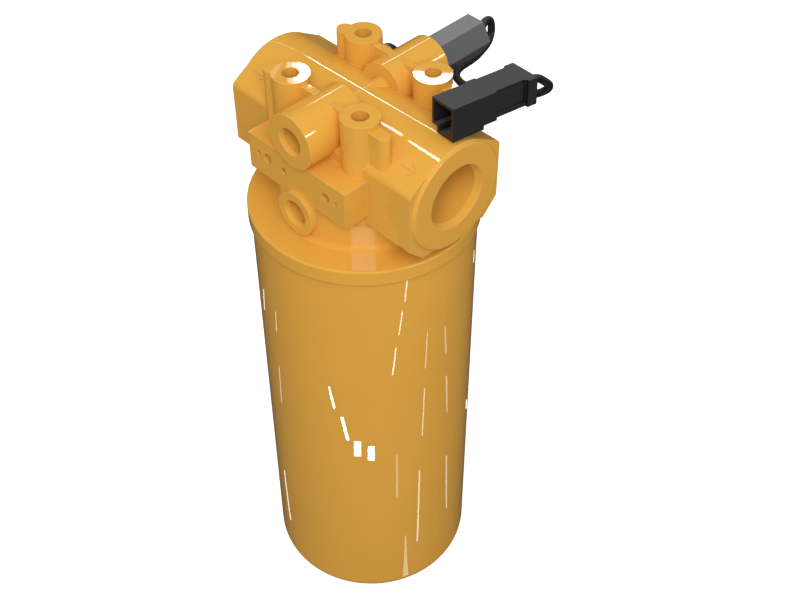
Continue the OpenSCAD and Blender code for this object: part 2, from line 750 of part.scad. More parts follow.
module head_gasket() {
  color(rubber) rotate_extrude() polygon([
    [gasket_in_r, gasket_bottom], [gasket_out_r, gasket_bottom],
    [gasket_out_r, seal_z - 0.8], [gasket_out_r - 0.6, seal_z - 0.2],
    [gasket_in_r + 0.6, seal_z - 0.2], [gasket_in_r, seal_z - 0.8]
  ]);
}

// Pressed end cap, open side up, with a hole or a closed centre
module end_cap(hole_r) {
  rotate_extrude() polygon([
    [hole_r, 0], [cap_r, 0], [cap_r, cap_rim_h], [cap_r - cap_t, cap_rim_h],
    [cap_r - cap_t, cap_t], [hole_r, cap_t]
  ]);
}

module element_top_cap() {
  color(steel) translate([0, 0, element_top]) mirror([0, 0, 1])
    end_cap(nipple_r + 1.2);
}

module element_bottom_cap() {
  color(steel) translate([0, 0, element_base]) end_cap(0);
}

// Folded media as a closed star-shaped wall
module pleated_media() {
  half = 180 / pleats;
  crests = [for (i = [0 : 2 * pleats - 1]) let (a = i * half,
      r = i % 2 == 0 ? media_out_r : media_in_r + pleat_shift)
    [r * cos(a), r * sin(a)]];
  valleys = [for (i = [0 : 2 * pleats - 1]) let (a = i * half,
      r = i % 2 == 0 ? media_out_r - pleat_shift : media_in_r)
    [r * cos(a), r * sin(a)]];
  color("#e8e2d0") translate([0, 0, tube_bottom]) linear_extrude(tube_l)
    difference() {
      polygon(crests);
      polygon(valleys);
    }
}

module centre_tube() {
  color(steel) difference() {
    translate([0, 0, tube_bottom]) cylinder(r = tube_r, h = tube_l);
    translate([0, 0, tube_bottom - eps]) cylinder(r = tube_in_r, h = tube_l + 2 * eps);
    for (row = [1 : tube_rows], k = [0, 1])
      translate([0, 0, tube_bottom + row * tube_row])
        rotate([0, 90, k * 90 + (row % 2) * 45])
          cylinder(r = tube_hole_r, h = 3 * tube_r, center = true, $fn = 24);
  }
}

module element_seal() {
  in_r = nipple_r + nipple_fit;
  lip = 1.2;
  groove_r = in_r + lip - 0.05;
  color(rubber) rotate_extrude() polygon([
    [in_r, element_top - seal_h + 1.5], [tube_in_r - 0.05, element_top - seal_h + 1.5],
    [tube_in_r - 0.05, tube_top], [groove_r, tube_top], [groove_r, element_top],
    [groove_r + 2, element_top], [groove_r + 2, element_top + 1.5],
    [in_r, element_top + 1.5]
  ]);
}

// Stamped spring: a cone of four legs between two rings, under the element
module element_spring() {
  foot_r = bead_r + 3;
  top_r = 14;
  ring_w = 6;
  slant = leaf_t * 0.6;
  window_h = leaf_h - 3.5 * leaf_t;
  color(steel) difference() {
    rotate_extrude() polygon([
      [top_r - ring_w, element_base - leaf_t], [top_r, element_base - leaf_t],
      [foot_r - ring_w, bead_top], [foot_r, bead_top], [foot_r, bead_top + leaf_t],
      [foot_r - ring_w + slant, bead_top + leaf_t],
      [top_r + slant, element_base], [top_r - ring_w, element_base]
    ]);
    for (i = [0 : 3])
      rotate([0, 0, 45 + 90 * i])
        translate([top_r - ring_w, -5, bead_top + 1.75 * leaf_t])
          cube([foot_r, 10, window_h]);
  }
}

filter_head();
nipple();
valve_cage();
valve_poppet();
valve_spring();
switch_body();
switch_ring();
switch_grommet();
switch_lead();
connector_housing();
connector_seal();
connector_pins();
port_cap();
canister();
seam_plate();
tapping_plate();
head_gasket();
element_top_cap();
element_bottom_cap();
pleated_media();
centre_tube();
element_seal();
element_spring();
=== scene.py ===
import math

import bmesh
import bpy
from mathutils import Matrix, Vector


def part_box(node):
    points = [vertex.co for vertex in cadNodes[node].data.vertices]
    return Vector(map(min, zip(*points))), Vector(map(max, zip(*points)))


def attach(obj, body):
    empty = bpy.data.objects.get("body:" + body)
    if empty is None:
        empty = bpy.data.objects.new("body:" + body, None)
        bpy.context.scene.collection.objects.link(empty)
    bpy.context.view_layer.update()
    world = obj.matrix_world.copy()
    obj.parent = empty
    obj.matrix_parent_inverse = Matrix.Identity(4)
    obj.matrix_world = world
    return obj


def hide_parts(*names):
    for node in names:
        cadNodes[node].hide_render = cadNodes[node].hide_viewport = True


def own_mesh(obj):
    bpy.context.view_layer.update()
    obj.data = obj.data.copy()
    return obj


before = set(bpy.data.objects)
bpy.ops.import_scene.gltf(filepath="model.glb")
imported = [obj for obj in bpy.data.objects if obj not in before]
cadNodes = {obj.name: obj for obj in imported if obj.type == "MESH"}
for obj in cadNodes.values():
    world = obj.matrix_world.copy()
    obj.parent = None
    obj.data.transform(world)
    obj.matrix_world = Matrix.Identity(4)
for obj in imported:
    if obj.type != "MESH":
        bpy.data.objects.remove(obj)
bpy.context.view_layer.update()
mm = 0.001


# the camera stands at the photograph's angle
cameraPlan = {
    "azimuth": 45.108,  # degrees round the object from the front
    "elevation": 44.864,  # degrees above the horizon
    "distance": 0.668535,  # metres back from the aim point
    "across": 0.01803,  # metres that the lens stands to the right of it
    "rise": -0.055187,  # and above it, square to the view
    "aim": (0, 0, 0.275),  # middle of the mounting flange
    "lens": 58.96,
    "sensor": 36.0,
}


def viewAxes(azimuth, elevation):
    a, e = math.radians(azimuth), math.radians(elevation)
    back = Vector((math.sin(a) * math.cos(e), -math.cos(a) * math.cos(e), math.sin(e)))
    right = Vector((math.cos(a), math.sin(a), 0))
    return right, back.cross(right), back


def makeCamera(plan):
    right, up, back = viewAxes(plan["azimuth"], plan["elevation"])
    data = bpy.data.cameras.new("photoCamera")
    data.lens, data.sensor_width = plan["lens"], plan["sensor"]
    data.clip_start, data.clip_end = 0.01, 100
    data.dof.use_dof = False
    holder = bpy.data.objects.new("photoCamera", data)
    bpy.context.scene.collection.objects.link(holder)
    turn = Matrix((right, up, back)).transposed().to_4x4()
    place = Vector(plan["aim"]) + back * plan["distance"]
    place += right * plan["across"] + up * plan["rise"]
    holder.matrix_world = Matrix.Translation(place) @ turn
    bpy.context.scene.camera = holder


makeCamera(cameraPlan)
print("camera stands")


# the lead, on the same route points as the part's source, in metres
leadPlan = {
    "diameter": 0.004,
    "steps": 4,  # points between two route points
    "rounding": 5,  # faces round a quarter of the sheath
    "weldMm": 0.01,  # points nearer than this become one
    "route": [
        (0, 0.0804, 0.333), (-0.0004, 0.0848, 0.3338), (-0.0018, 0.0888, 0.335),
        (-0.0026, 0.093, 0.3336), (-0.0032, 0.0954, 0.3298), (-0.0028, 0.0952, 0.3252),
        (-0.0016, 0.0924, 0.322), (-0.0004, 0.0882, 0.3206), (0.0008, 0.084, 0.3204),
        (0.002, 0.0796, 0.3204), (0.0028, 0.0752, 0.3206), (0.0032, 0.0708, 0.3208),
        (0.0038, 0.0662, 0.3212), (0.005, 0.0618, 0.3214), (0.0074, 0.058, 0.3218),
        (0.0108, 0.0554, 0.3224), (0.015, 0.0536, 0.323), (0.0192, 0.0522, 0.324),
        (0.0234, 0.051, 0.3246), (0.0278, 0.0502, 0.3252), (0.0324, 0.0496, 0.3258),
        (0.0368, 0.0496, 0.3264), (0.0412, 0.0504, 0.327), (0.045, 0.0526, 0.3278),
        (0.0482, 0.0556, 0.3288), (0.0508, 0.0592, 0.3298), (0.0536, 0.0626, 0.331),
        (0.0568, 0.0652, 0.3328), (0.0598, 0.066, 0.336), (0.0616, 0.0644, 0.3398),
        (0.0614, 0.0614, 0.343), (0.06, 0.058, 0.346), (0.0594, 0.054, 0.3474),
        (0.059, 0.0494, 0.3474),
    ],
}


def smoothRoute(points, steps):
    points = [Vector(p) for p in points]
    path = []
    for i in range(len(points) - 1):
        before, here = points[max(i - 1, 0)], points[i]
        there, after = points[i + 1], points[min(i + 2, len(points) - 1)]
        for k in range(steps):
            t = k / steps
            path.append(0.5 * (
                2 * here + (there - before) * t
                + (2 * before - 5 * here + 4 * there - after) * t ** 2
                + (3 * here - before - 3 * there + after) * t ** 3
            ))
    return path + [points[-1]]


def makeLead(plan):
    path = smoothRoute(plan["route"], plan["steps"])
    curve = bpy.data.curves.new("leadRoute", "CURVE")
    curve.dimensions = "3D"
    spline = curve.splines.new("POLY")
    spline.points.add(len(path) - 1)
    for point, place in zip(spline.points, path):
        point.co = (*place, 1)
    curve.bevel_depth = plan["diameter"] / 2
    curve.bevel_resolution = plan["rounding"]
    curve.use_fill_caps = True
    route = bpy.data.objects.new("leadRoute", curve)
    bpy.context.scene.collection.objects.link(route)
    depsgraph = bpy.context.evaluated_depsgraph_get()
    tube = bpy.data.meshes.new_from_object(route.evaluated_get(depsgraph))
    bpy.data.objects.remove(route)
    bpy.data.curves.remove(curve)
    work = bmesh.new()
    work.from_mesh(tube)
    bmesh.ops.remove_doubles(work, verts=work.verts, dist=plan["weldMm"] * mm)
    bmesh.ops.recalc_face_normals(work, faces=work.faces)
    work.to_mesh(tube)
    work.free()
    tube.shade_smooth()
    sheath = bpy.data.objects.new("switchLeadSheath", tube)
    bpy.context.scene.collection.objects.link(sheath)
    length = sum((b - a).length for a, b in zip(path, path[1:]))
    return sheath, [tuple(p) for p in path], length


leadSheath, leadPath, leadLength = makeLead(leadPlan)
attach(leadSheath, "head")
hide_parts("switch_lead")
print(f"lead lies, {leadLength / mm:.1f} mm")


# materials, each named for what the real one is; colours are written as sRGB hex
def linearColour(code):
    channels = [int(code[i:i + 2], 16) / 255 for i in (0, 2, 4)]
    return (*[
        c / 12.92 if c <= 0.04045 else ((c + 0.055) / 1.055) ** 2.4 for c in channels
    ], 1)


def addNode(tree, kind, settings=None, **sockets):
    # sockets are named by the input's own name with its spaces taken out, or as "at3" by place
    node = tree.nodes.new(kind)
    for key, value in (settings or {}).items():
        setattr(node, key, value)
    plain = {}
    for place, socket in enumerate(node.inputs):
        plain.setdefault(socket.name.replace(" ", ""), socket)
        plain[f"at{place}"] = socket
    for name, value in sockets.items():
        if isinstance(value, bpy.types.NodeSocket):
            tree.links.new(value, plain[name])
        else:
            plain[name].default_value = value
    return node


def startMaterial(name):
    material = bpy.data.materials.new(name)
    material.use_nodes = True
    tree = material.node_tree
    tree.nodes.clear()
    where = addNode(tree, "ShaderNodeTexCoord").outputs["Object"]
    return material, tree, where


def endMaterial(tree, shader):
    addNode(tree, "ShaderNodeOutputMaterial", Surface=shader.outputs[0])


def perMetre(sizeMm):
    return 1 / (sizeMm * mm)


# gloss enamel on metal: a warm orange yellow under a clear, wet-looking skin
enamelLook = {
    "paint": "EFB34D",
    "paintDeep": "EAAC45",
    "paintThin": "FFDCA0",
    "cloudMm": 34,
    "roughness": 0.5,
    "skinRoughness": 0.02,
    "ior": 1.5,
    "edgeMm": 0.45,  # radius of the rounded edge normals, and of the pale painted highlight along sharp edges
    "edgeShow": 0.4,
    "edgeFrom": 0.995,  # cosines of the turn where the painted edge highlight starts and is full
    "edgeTo": 0.9,
}
# what lies under the enamel decides how much grain and orange peel the eye finds in it
enamelGrounds = {
    # a sand casting: a little of its grain comes through
    "enamelOnCastAluminium": {
        "peelMm": 3.2, "peelDepthMm": 0.0002, "grainMm": 0.8, "grainDepthMm": 0.006,
    },
    # a deep-drawn steel can: the same coat on smooth sheet
    "enamelOnDrawnSteel": {
        "peelMm": 4.0, "peelDepthMm": 0.0002, "grainMm": 1.6, "grainDepthMm": 0.002,
    },
}


def makeEnamel(name):
    look, ground = enamelLook, enamelGrounds[name]
    material, tree, where = startMaterial(name)
    cloud = addNode(
        tree, "ShaderNodeTexNoise", Vector=where, Scale=perMetre(look["cloudMm"]), Detail=3.0
    )
    tone = addNode(
        tree, "ShaderNodeMix", {"data_type": "RGBA"}, at0=cloud.outputs["Fac"],
        at6=linearColour(look["paint"]), at7=linearColour(look["paintDeep"]),
    )
    edge = addNode(tree, "ShaderNodeBevel", {"samples": 6}, Radius=look["edgeMm"] * mm)
    face = addNode(tree, "ShaderNodeNewGeometry").outputs["Normal"]
    turned = addNode(
        tree, "ShaderNodeVectorMath", {"operation": "DOT_PRODUCT"},
        at0=edge.outputs[0], at1=face,
    )
    # a pale painted highlight along sharp edges, mixed into the enamel's colour
    edgeHighlightMask = addNode(
        tree, "ShaderNodeMapRange", Value=turned.outputs["Value"],
        FromMin=look["edgeFrom"], FromMax=look["edgeTo"], ToMin=0.0, ToMax=look["edgeShow"],
    )
    tone = addNode(
        tree, "ShaderNodeMix", {"data_type": "RGBA"}, at0=edgeHighlightMask.outputs[0],
        at6=tone.outputs[2], at7=linearColour(look["paintThin"]),
    )
    grain = addNode(
        tree, "ShaderNodeTexNoise", Vector=where, Scale=perMetre(ground["grainMm"]), Detail=2.0
    )
    cast = addNode(
        tree, "ShaderNodeBump", Strength=1.0, Distance=ground["grainDepthMm"] * mm,
        Height=grain.outputs["Fac"], Normal=edge.outputs[0],
    )
    peel = addNode(
        tree, "ShaderNodeTexNoise", Vector=where, Scale=perMetre(ground["peelMm"]), Detail=1.0
    )
    film = addNode(
        tree, "ShaderNodeBump", Strength=1.0, Distance=ground["peelDepthMm"] * mm,
        Height=peel.outputs["Fac"],
    )
    shader = addNode(
        tree, "ShaderNodeBsdfPrincipled", BaseColor=tone.outputs[2],
        Roughness=look["roughness"], IOR=look["ior"], SpecularIORLevel=0.0,
        CoatWeight=1.0, CoatRoughness=look["skinRoughness"], CoatIOR=look["ior"],
        Normal=cast.outputs[0], CoatNormal=film.outputs[0],
    )
    endMaterial(tree, shader)
    return material


# bare and plated metals: a spotted tone, with fine turning lines in the surface
metalLooks = {
    # zinc plate: a cool silver with a faint spangle
    "zincPlatedSteel": {"tone": "C9CCCB", "shade": "B4B8B8", "roughness": 0.3, "spotMm": 2.2},
    # tinned sheet: brighter, softly rolled
    "tinnedSteelSheet": {"tone": "D6D6D2", "shade": "C6C7C4", "roughness": 0.24, "spotMm": 5.0},
    # oil-tempered spring wire: a dark grey with a blue cast
    "springSteelWire": {"tone": "6E7276", "shade": "5B5F64", "roughness": 0.34, "spotMm": 0.8},
    # tin-brass contacts: warm yellow, in spots; the real ones are bright where the mating part
    # wipes
    "contactBrass": {"tone": "D9B464", "shade": "C79C48", "roughness": 0.22, "spotMm": 0.6},
}
turningLines = {"pitchMm": 0.5, "depthMm": 0.004, "glossier": 0.05, "duller": 0.08}


def makeMetal(name):
    look, turned = metalLooks[name], turningLines
    material, tree, where = startMaterial(name)
    spots = addNode(
        tree, "ShaderNodeTexVoronoi", Vector=where, Scale=perMetre(look["spotMm"])
    )
    tone = addNode(
        tree, "ShaderNodeMix", {"data_type": "RGBA"}, at0=spots.outputs["Distance"],
        at6=linearColour(look["tone"]), at7=linearColour(look["shade"]),
    )
    lines = addNode(
        tree, "ShaderNodeTexNoise", Vector=where, Scale=perMetre(turned["pitchMm"]), Detail=2.0
    )
    bump = addNode(
        tree, "ShaderNodeBump", Strength=1.0, Distance=turned["depthMm"] * mm,
        Height=lines.outputs["Fac"],
    )
    rough = addNode(
        tree, "ShaderNodeMapRange", Value=lines.outputs["Fac"],
        ToMin=look["roughness"] - turned["glossier"],
        ToMax=look["roughness"] + turned["duller"],
    )
    shader = addNode(
        tree, "ShaderNodeBsdfPrincipled", BaseColor=tone.outputs[2], Metallic=1.0,
        Roughness=rough.outputs[0], Normal=bump.outputs[0],
    )
    endMaterial(tree, shader)
    return material


# moulded plastics and rubbers: one recipe, with each one's own shade, gloss and skin, a paler
# painted top light on the faces that look up, and painted shade darkening its grooves
mouldedLooks = {
    # glass-filled polyamide, mid grey, a satin skin from a spark-eroded mould
    "greyPolyamide": {
        "tone": "535355", "fleck": "59595B", "bloom": "828284", "roughness": 0.42, "ior": 1.53,
        "skinMm": 0.35, "skinDepthMm": 0.008, "edgeMm": 0.35,
    },
    # black polyester moulding: near black, satin, with a fine even texture
    "blackPolyester": {
        "tone": "202022", "fleck": "272729", "bloom": "4B4B4C", "roughness": 0.46, "ior": 1.57,
        "skinMm": 0.3, "skinDepthMm": 0.006, "edgeMm": 0.25,
    },
    # soft vinyl sheath: glossy black, drawn smooth through a die
    "blackVinyl": {
        "tone": "191A1C", "fleck": "1E1F21", "bloom": "434446", "roughness": 0.22, "ior": 1.53,
        "skinMm": 1.4, "skinDepthMm": 0.01, "edgeMm": 0.05,
    },
    # nitrile rubber: dull black, with a slight painted top light
    "nitrileRubber": {
        "tone": "1D1D1E", "fleck": "262626", "bloom": "343434", "roughness": 0.62, "ior": 1.52,
        "skinMm": 0.5, "skinDepthMm": 0.012, "edgeMm": 0.1,
    },
    # polythene cap: black, waxy, half gloss
    "blackPolythene": {
        "tone": "202022", "fleck": "29292B", "bloom": "343436", "roughness": 0.38, "ior": 1.51,
        "skinMm": 0.8, "skinDepthMm": 0.01, "edgeMm": 0.3,
    },
}


# what all mouldings share
mouldedSkin = {
    "fleckMm": 2.5,
    "dustFrom": 0.35,  # how far a face must look up to start taking the painted top light, and to take all of it
    "dustTo": 0.95,
    "grooveReachMm": 1.6,
    "grooveShut": 0.5,  # openness of a groove where the painted shade is at its darkest, and of a plain face
    "grooveOpen": 0.95,
    "grooveTone": 0.25,
    "glossier": 0.04,
    "duller": 0.06,
}


def makeMoulded(name):
    look, shared = mouldedLooks[name], mouldedSkin
    material, tree, where = startMaterial(name)
    fleck = addNode(
        tree, "ShaderNodeTexNoise", Vector=where, Scale=perMetre(shared["fleckMm"]), Detail=4.0
    )
    tone = addNode(
        tree, "ShaderNodeMix", {"data_type": "RGBA"}, at0=fleck.outputs["Fac"],
        at6=linearColour(look["tone"]), at7=linearColour(look["fleck"]),
    )
    # faces that look up get a paler colour: painted top light
    facing = addNode(tree, "ShaderNodeNewGeometry").outputs["Normal"]
    upward = addNode(tree, "ShaderNodeSeparateXYZ", Vector=facing)
    topLightMask = addNode(
        tree, "ShaderNodeMapRange", Value=upward.outputs["Z"],
        FromMin=shared["dustFrom"], FromMax=shared["dustTo"],
    )
    topLitColour = addNode(
        tree, "ShaderNodeMix", {"data_type": "RGBA"}, at0=topLightMask.outputs[0],
        at6=tone.outputs[2], at7=linearColour(look["bloom"]),
    )
    # grooves and recesses darkened by ambient occlusion: painted shade
    creaseShade = addNode(
        tree, "ShaderNodeAmbientOcclusion", {"samples": 8, "only_local": True},
        Color=topLitColour.outputs[2], Distance=shared["grooveReachMm"] * mm,
    )
    shadeFactor = addNode(
        tree, "ShaderNodeMapRange", Value=creaseShade.outputs["AO"],
        FromMin=shared["grooveShut"], FromMax=shared["grooveOpen"],
        ToMin=shared["grooveTone"], ToMax=1.0,
    )
    shaded = addNode(
        tree, "ShaderNodeMix", {"data_type": "RGBA", "blend_type": "MULTIPLY"}, at0=1.0,
        at6=topLitColour.outputs[2], at7=shadeFactor.outputs[0],
    )
    edge = addNode(tree, "ShaderNodeBevel", {"samples": 4}, Radius=look["edgeMm"] * mm)
    skin = addNode(
        tree, "ShaderNodeTexNoise", Vector=where, Scale=perMetre(look["skinMm"]), Detail=2.0
    )
    bump = addNode(
        tree, "ShaderNodeBump", Strength=1.0, Distance=look["skinDepthMm"] * mm,
        Height=skin.outputs["Fac"], Normal=edge.outputs[0],
    )
    rough = addNode(
        tree, "ShaderNodeMapRange", Value=fleck.outputs["Fac"],
        ToMin=look["roughness"] - shared["glossier"],
        ToMax=look["roughness"] + shared["duller"],
    )
    shader = addNode(
        tree, "ShaderNodeBsdfPrincipled", BaseColor=shaded.outputs[2],
        Roughness=rough.outputs[0], IOR=look["ior"], Normal=bump.outputs[0],
    )
    endMaterial(tree, shader)
    return material


# resin-cured cellulose: cream paper with visible short fibres
paperLook = {
    "tone": "E4D5B4", "fibre": "CDB98F", "roughness": 0.85, "ior": 1.47, "sheen": 0.2,
    "fibreMm": 0.9, "fibreSquash": 0.3, "fibreDepthMm": 0.03,
}


def makePaper():
    look = paperLook
    material, tree, where = startMaterial("celluloseMedia")
    along = addNode(tree, "ShaderNodeMapping", Vector=where, Scale=(1, 1, look["fibreSquash"]))
    fibres = addNode(
        tree, "ShaderNodeTexNoise", Vector=along.outputs[0],
        Scale=perMetre(look["fibreMm"]), Detail=5.0,
    )
    tone = addNode(
        tree, "ShaderNodeMix", {"data_type": "RGBA"}, at0=fibres.outputs["Fac"],
        at6=linearColour(look["tone"]), at7=linearColour(look["fibre"]),
    )
    bump = addNode(
        tree, "ShaderNodeBump", Strength=1.0, Distance=look["fibreDepthMm"] * mm,
        Height=fibres.outputs["Fac"],
    )
    shader = addNode(
        tree, "ShaderNodeBsdfPrincipled", BaseColor=tone.outputs[2],
        Roughness=look["roughness"], IOR=look["ior"], Normal=bump.outputs[0],
        SheenWeight=look["sheen"],
    )
    endMaterial(tree, shader)
    return material


finishes = {name: makeMetal(name) for name in metalLooks}
finishes.update({name: makeMoulded(name) for name in mouldedLooks})
finishes.update({name: makeEnamel(name) for name in enamelGrounds})
finishes["celluloseMedia"] = makePaper()

nodeFinishes = {
    "filter_head": "enamelOnCastAluminium",
    "canister": "enamelOnDrawnSteel",
    "nipple": "zincPlatedSteel",
    "tapping_plate": "zincPlatedSteel",
    "seam_plate": "tinnedSteelSheet",
    "valve_cage": "zincPlatedSteel",
    "valve_poppet": "zincPlatedSteel",
    "valve_spring": "springSteelWire",
    "element_spring": "springSteelWire",
    "element_top_cap": "tinnedSteelSheet",
    "element_bottom_cap": "tinnedSteelSheet",
    "centre_tube": "tinnedSteelSheet",
    "pleated_media": "celluloseMedia",
    "element_seal": "nitrileRubber",
    "head_gasket": "nitrileRubber",
    "switch_body": "greyPolyamide",
    "switch_ring": "nitrileRubber",
    "switch_grommet": "nitrileRubber",
    "connector_housing": "blackPolyester",
    "connector_seal": "nitrileRubber",
    "connector_pins": "contactBrass",
    "port_cap": "blackPolythene",
}
for nodeName, finish in nodeFinishes.items():
    slots = cadNodes[nodeName].data.materials
    if not slots:
        slots.append(finishes[finish])
    for place in range(len(slots)):
        slots[place] = finishes[finish]
leadSheath.data.materials.append(finishes["blackVinyl"])
print("materials are on")


# pieces that repeat a shape, each by its own node tree
def startTree(name, sizes):
    tree = bpy.data.node_groups.new(name, "GeometryNodeTree")
    tree.interface.new_socket("Geometry", in_out="OUTPUT", socket_type="NodeSocketGeometry")
    for label, value in sizes.items():
        kind = "NodeSocketInt" if isinstance(value, int) else "NodeSocketFloat"
        tree.interface.new_socket(label, in_out="INPUT", socket_type=kind)
    tree.interface.new_socket("Material", in_out="INPUT", socket_type="NodeSocketMaterial")
    sizesIn = addNode(tree, "NodeGroupInput").outputs
    return tree, sizesIn


def endTree(tree, sizesIn, shape):
    real = addNode(tree, "GeometryNodeRealizeInstances", Geometry=shape)
    coated = addNode(
        tree, "GeometryNodeSetMaterial", Geometry=real.outputs[0],
        Material=sizesIn["Material"],
    )
    addNode(tree, "NodeGroupOutput", at0=coated.outputs[0])


def growPiece(name, tree, sizes, material, place):
    host = bpy.data.objects.new(name + "Host", bpy.data.meshes.new(name + "Host"))
    bpy.context.scene.collection.objects.link(host)
    modifier = host.modifiers.new("grow", "NODES")
    modifier.node_group = tree
    for item in tree.interface.items_tree:
        if item.in_out == "INPUT":
            given = material if item.name == "Material" else sizes[item.name]
            modifier[item.identifier] = given
    depsgraph = bpy.context.evaluated_depsgraph_get()
    mesh = bpy.data.meshes.new_from_object(host.evaluated_get(depsgraph))
    host.modifiers.remove(modifier)
    bpy.data.objects.remove(host)
    mesh.name = name
    mesh.transform(place)
    piece = bpy.data.objects.new(name, mesh)
    bpy.context.scene.collection.objects.link(piece)
    return piece


# coil of the bypass valve's spring, wound at an even pitch; its height is that of the solid
springSizes = {
    "Turns": 4.0, "Coil radius": 0.0035, "Wire radius": 0.0005,
    "Steps a turn": 32, "Wire sides": 12,
}


def makeSpringTree(sizes):
    tree, given = startTree("springCoil", sizes)
    coil = addNode(
        tree, "GeometryNodeCurveSpiral", Resolution=given["Steps a turn"],
        Rotations=given["Turns"], StartRadius=given["Coil radius"],
        EndRadius=given["Coil radius"], Height=given["Height"],
    )
    wire = addNode(
        tree, "GeometryNodeCurvePrimitiveCircle", Resolution=given["Wire sides"],
        Radius=given["Wire radius"],
    )
    swept = addNode(
        tree, "GeometryNodeCurveToMesh", Curve=coil.outputs[0],
        ProfileCurve=wire.outputs[0],
    )
    swept.inputs["Fill Caps"].default_value = True
    endTree(tree, given, swept.outputs[0])
    return tree


springLow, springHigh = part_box("valve_spring")
springMiddle = (springLow + springHigh) / 2
springBase = Vector((springMiddle.x, springMiddle.y, springLow.z + springSizes["Wire radius"]))
springSizes["Height"] = springHigh.z - springLow.z - 2 * springSizes["Wire radius"]
springCoil = growPiece(
    "valveSpringCoil", makeSpringTree(springSizes), springSizes,
    finishes["springSteelWire"], Matrix.Translation(springBase),
)
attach(springCoil, "head")
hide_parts("valve_spring")
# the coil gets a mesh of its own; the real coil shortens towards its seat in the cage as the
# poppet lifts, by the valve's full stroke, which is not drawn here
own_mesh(springCoil)


# grip ribs round the push-in cap of the unused port
gripSizes = {
    "Ribs": 20, "Ring radius": 0.0067, "Rib width": 0.0009, "Rib depth": 0.0007,
    "Rib length": 0.0026,
}
gripInset = 0.0034  # from the cap's outer face to the middle of the ribs


def makeGripTree(sizes):
    tree, given = startTree("gripRibs", sizes)
    ring = addNode(
        tree, "GeometryNodeMeshCircle", Vertices=given["Ribs"], Radius=given["Ring radius"]
    )
    size = addNode(
        tree, "ShaderNodeCombineXYZ", X=given["Rib depth"], Y=given["Rib width"],
        Z=given["Rib length"],
    )
    rib = addNode(tree, "GeometryNodeMeshCube", Size=size.outputs[0])
    outward = addNode(tree, "GeometryNodeInputPosition")
    turn = addNode(
        tree, "FunctionNodeAlignRotationToVector", {"axis": "X", "pivot_axis": "Z"},
        Vector=outward.outputs[0],
    )
    ribs = addNode(
        tree, "GeometryNodeInstanceOnPoints", Points=ring.outputs[0],
        Instance=rib.outputs[0], Rotation=turn.outputs[0],
    )
    endTree(tree, given, ribs.outputs[0])
    return tree


capLow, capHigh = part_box("port_cap")
capAxis = Vector(((capLow.x + capHigh.x) / 2, capHigh.y, (capLow.z + capHigh.z) / 2))
gripPlace = Matrix.Translation(capAxis + Vector((0, -gripInset, 0))) @ Matrix.Rotation(
    -math.pi / 2, 4, "X"
)
gripRibs = growPiece(
    "portCapGripRibs", makeGripTree(gripSizes), gripSizes,
    finishes["blackPolythene"], gripPlace,
)
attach(gripRibs, "head")
print("repeated pieces are grown")


def meshObject(name, build):
    mesh = bpy.data.meshes.new(name)
    work = bmesh.new()
    build(work)
    work.to_mesh(mesh)
    work.free()
    made = bpy.data.objects.new(name, mesh)
    bpy.context.scene.collection.objects.link(made)
    return made


def addPrism(work, outline, shift):
    # built point by point, so that the mesh has the same order in each run
    near = [work.verts.new(spot) for spot in outline]
    far = [work.verts.new(Vector(spot) + Vector(shift)) for spot in outline]
    work.faces.new(near)
    work.faces.new(reversed(far))
    for place, point in enumerate(near):
        before = place - 1
        work.faces.new((point, near[before], far[before], far[place]))


# the ears beside the outlet side's bosses: short flat-topped lugs that run out along the ports
earPlan = {
    "boss": (0.02375, 0.02375),  # the far boss, from the axis; the near one mirrors it
    "start": 0.0075,  # inside the boss wall
    "reach": 0.015,
    "radius": 0.0035,
    "low": 0.326,
    "high": 0.345,
    "arcSteps": 24,
}


def earOutline(plan, side):
    x, y = plan["boss"][0], side * plan["boss"][1]
    tip = x + plan["reach"]
    outline = [(x + plan["start"], y - plan["radius"])]
    for step in range(plan["arcSteps"] + 1):
        turn = math.pi * (step / plan["arcSteps"] - 0.5)
        outline.append((
            tip + plan["radius"] * math.cos(turn), y + plan["radius"] * math.sin(turn)
        ))
    return outline + [(x + plan["start"], y + plan["radius"])]


def buildEars(work):
    low, rise = earPlan["low"], earPlan["high"] - earPlan["low"]
    for side in (-1, 1):
        outline = [(*spot, low) for spot in earOutline(earPlan, side)]
        addPrism(work, outline, (0, 0, rise))
    bmesh.ops.recalc_face_normals(work, faces=work.faces)


# the half-round rib that joins the two test bosses, level with the barrel's crown
ribPlan = {
    "radius": 0.0065, "front": -0.0135, "back": 0.0135, "height": 0.33238, "arcSteps": 48,
}


def buildRib(work):
    plan = ribPlan
    turns = [math.pi * step / plan["arcSteps"] for step in range(plan["arcSteps"] + 1)]
    outline = [(
        plan["radius"] * math.cos(turn), plan["front"],
        plan["height"] + plan["radius"] * math.sin(turn),
    ) for turn in turns]
    addPrism(work, outline, (0, plan["back"] - plan["front"], 0))
    bmesh.ops.recalc_face_normals(work, faces=work.faces)


# the closed inner end of the switch's bore, flush with the back boss's own end
boreEndPlan = {"radius": 0.00649, "low": 0.013, "depth": 0.002, "height": 0.333, "sides": 64}


def buildBoreEnd(work):
    plan = boreEndPlan
    centre = Vector((0, plan["low"] + plan["depth"] / 2, plan["height"]))
    bmesh.ops.create_cone(
        work, cap_ends=True, segments=plan["sides"], radius1=plan["radius"],
        radius2=plan["radius"], depth=plan["depth"],
        matrix=Matrix.Translation(centre) @ Matrix.Rotation(math.pi / 2, 4, "X"),
    )


sharpAngle = math.radians(30)
castingDetails = {
    "outletBossEars": buildEars, "testBossRib": buildRib, "switchBoreEnd": buildBoreEnd,
}
for name, build in castingDetails.items():
    detail = meshObject(name, build)
    detail.data.shade_smooth()
    detail.data.set_sharp_from_angle(angle=sharpAngle)
    detail.data.materials.append(finishes["enamelOnCastAluminium"])
    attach(detail, "head")
print("casting details are on")


